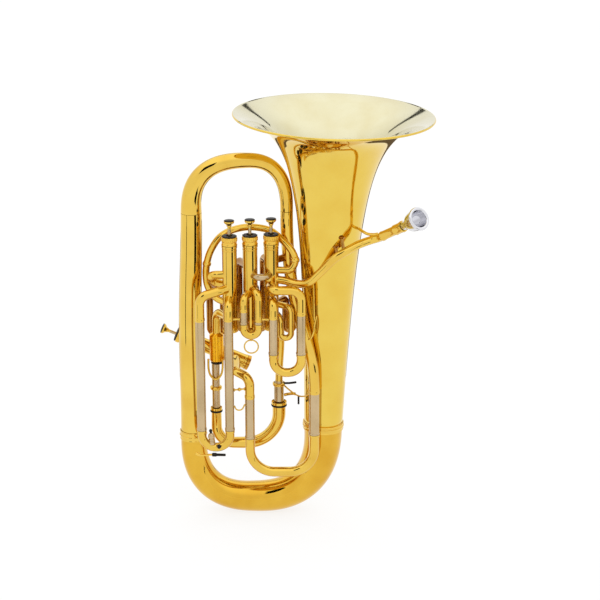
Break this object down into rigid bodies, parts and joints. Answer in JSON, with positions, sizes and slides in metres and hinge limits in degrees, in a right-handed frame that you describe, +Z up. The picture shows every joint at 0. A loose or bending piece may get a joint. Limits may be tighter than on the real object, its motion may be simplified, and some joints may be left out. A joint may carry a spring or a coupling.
{
  "type": "euphonium",
  "caption": "Compensating euphonium in lacquered brass with upright piston valves, a side-action valve, nickel slides and a silver mouthpiece, bell pointing up.",
  "frame": {"origin": "lowest point of the bottom bow's outside, where the instrument rests on the player's lap", "axes": "+Z up the instrument towards the bell mouth, +X from the left branch towards the bell, +Y from the slides towards the side valve"},
  "size_m": [0.4218, 0.3022, 0.6522],
  "materials": {
    "lacquered_brass": "clear lacquer, mirror polished",
    "cap_brass": "polished, knurled caps",
    "nickel_silver": "bare polished nickel silver",
    "silver_plate": "silver plated, mirror polished",
    "piston_metal": "ground smooth",
    "spring_steel": "drawn wire"
  },
  "bodies": {
    "instrument": {"bell": "lacquered_brass", "bottom_bow": "lacquered_brass", "left_branch": "lacquered_brass", "top_bow": "lacquered_brass", "small_branch": "lacquered_brass", "leadpipe": "lacquered_brass", "mouthpiece_receiver": "lacquered_brass", "bell_ferrule": "lacquered_brass", "branch_ferrule": "lacquered_brass", "arch_pipe": "lacquered_brass", "first_compensating_pipe": "lacquered_brass", "third_compensating_pipe": "lacquered_brass", "third_to_fourth_pipe": "lacquered_brass", "fourth_return_pipe": "lacquered_brass", "fourth_to_main_crook": "lacquered_brass", "first_knuckle": "lacquered_brass", "third_knuckle": "lacquered_brass", "slide_stay": "lacquered_brass", "valve_casing_1": "lacquered_brass", "top_cap_1": "cap_brass", "bottom_cap_1": "cap_brass", "valve_spring_1": "spring_steel", "valve_casing_2": "lacquered_brass", "top_cap_2": "cap_brass", "bottom_cap_2": "cap_brass", "valve_spring_2": "spring_steel", "valve_casing_3": "lacquered_brass", "top_cap_3": "cap_brass", "bottom_cap_3": "cap_brass", "valve_spring_3": "spring_steel", "valve_casing_4": "lacquered_brass", "top_cap_4": "cap_brass", "bottom_cap_4": "cap_brass", "valve_spring_4": "spring_steel", "first_sleeve_left": "nickel_silver", "first_sleeve_right": "nickel_silver", "second_sleeve_left": "nickel_silver", "second_sleeve_right": "nickel_silver", "third_sleeve_left": "nickel_silver", "third_sleeve_right": "nickel_silver", "main_sleeve_left": "nickel_silver", "main_sleeve_right": "nickel_silver", "fourth_inner_leg": "nickel_silver", "valve_link_knuckle": "nickel_silver"},
    "valve_1": {"piston_1": "piston_metal", "finger_button_1": "lacquered_brass"},
    "valve_2": {"piston_2": "piston_metal", "finger_button_2": "lacquered_brass"},
    "valve_3": {"piston_3": "piston_metal", "finger_button_3": "lacquered_brass"},
    "valve_4": {"piston_4": "piston_metal", "finger_button_4": "lacquered_brass"},
    "main_tuning_slide": {"main_slide": "lacquered_brass"},
    "first_valve_slide": {"first_slide": "lacquered_brass"},
    "second_valve_slide": {"second_slide": "lacquered_brass", "second_slide_ring": "lacquered_brass"},
    "third_valve_slide": {"third_slide": "lacquered_brass"},
    "fourth_valve_slide": {"fourth_slide": "lacquered_brass"},
    "spit_key": {"water_key": "cap_brass"},
    "mouthpiece_body": {"mouthpiece": "silver_plate"}
  },
  "joints": [
    {"name": "press_valve_1", "type": "slide", "parent": "instrument", "child": "valve_1", "axis": [0, 0, -1], "range_m": [0, 0.017], "stiffness_N_per_m": 150, "springref_m": -0.0167, "deforming": ["valve_spring_1"]},
    {"name": "press_valve_2", "type": "slide", "parent": "instrument", "child": "valve_2", "axis": [0, 0, -1], "range_m": [0, 0.017], "stiffness_N_per_m": 150, "springref_m": -0.0167, "deforming": ["valve_spring_2"]},
    {"name": "press_valve_3", "type": "slide", "parent": "instrument", "child": "valve_3", "axis": [0, 0, -1], "range_m": [0, 0.017], "stiffness_N_per_m": 150, "springref_m": -0.0167, "deforming": ["valve_spring_3"]},
    {"name": "press_valve_4", "type": "slide", "parent": "instrument", "child": "valve_4", "axis": [0.9171, 0, -0.3987], "range_m": [0, 0.017], "stiffness_N_per_m": 150, "springref_m": -0.0167, "deforming": ["valve_spring_4"]},
    {"name": "pull_main_slide", "type": "slide", "parent": "instrument", "child": "main_tuning_slide", "axis": [0, 0, -1], "range_m": [0, 0.045]},
    {"name": "pull_first_slide", "type": "slide", "parent": "instrument", "child": "first_valve_slide", "axis": [0, 0, -1], "range_m": [0, 0.03]},
    {"name": "pull_second_slide", "type": "slide", "parent": "instrument", "child": "second_valve_slide", "axis": [0, 0, -1], "range_m": [0, 0.015]},
    {"name": "pull_third_slide", "type": "slide", "parent": "instrument", "child": "third_valve_slide", "axis": [0, 0, -1], "range_m": [0, 0.075]},
    {"name": "pull_fourth_slide", "type": "slide", "parent": "instrument", "child": "fourth_valve_slide", "axis": [0, 0, -1], "range_m": [0, 0.015]},
    {"name": "open_water_key", "type": "hinge", "parent": "third_valve_slide", "child": "spit_key", "pos_m": [-0.07, -0.057, 0.1185], "axis": [0, 1, 0], "range_deg": [0, 12], "stiffness_Nm_per_rad": 0.05, "springref_deg": -17.19},
    {"name": "lift_off_mouthpiece", "type": "slide", "parent": "instrument", "child": "mouthpiece_body", "axis": [0.5199, -0.6998, 0.4899], "range_m": [0, 0.06]}
  ]
}
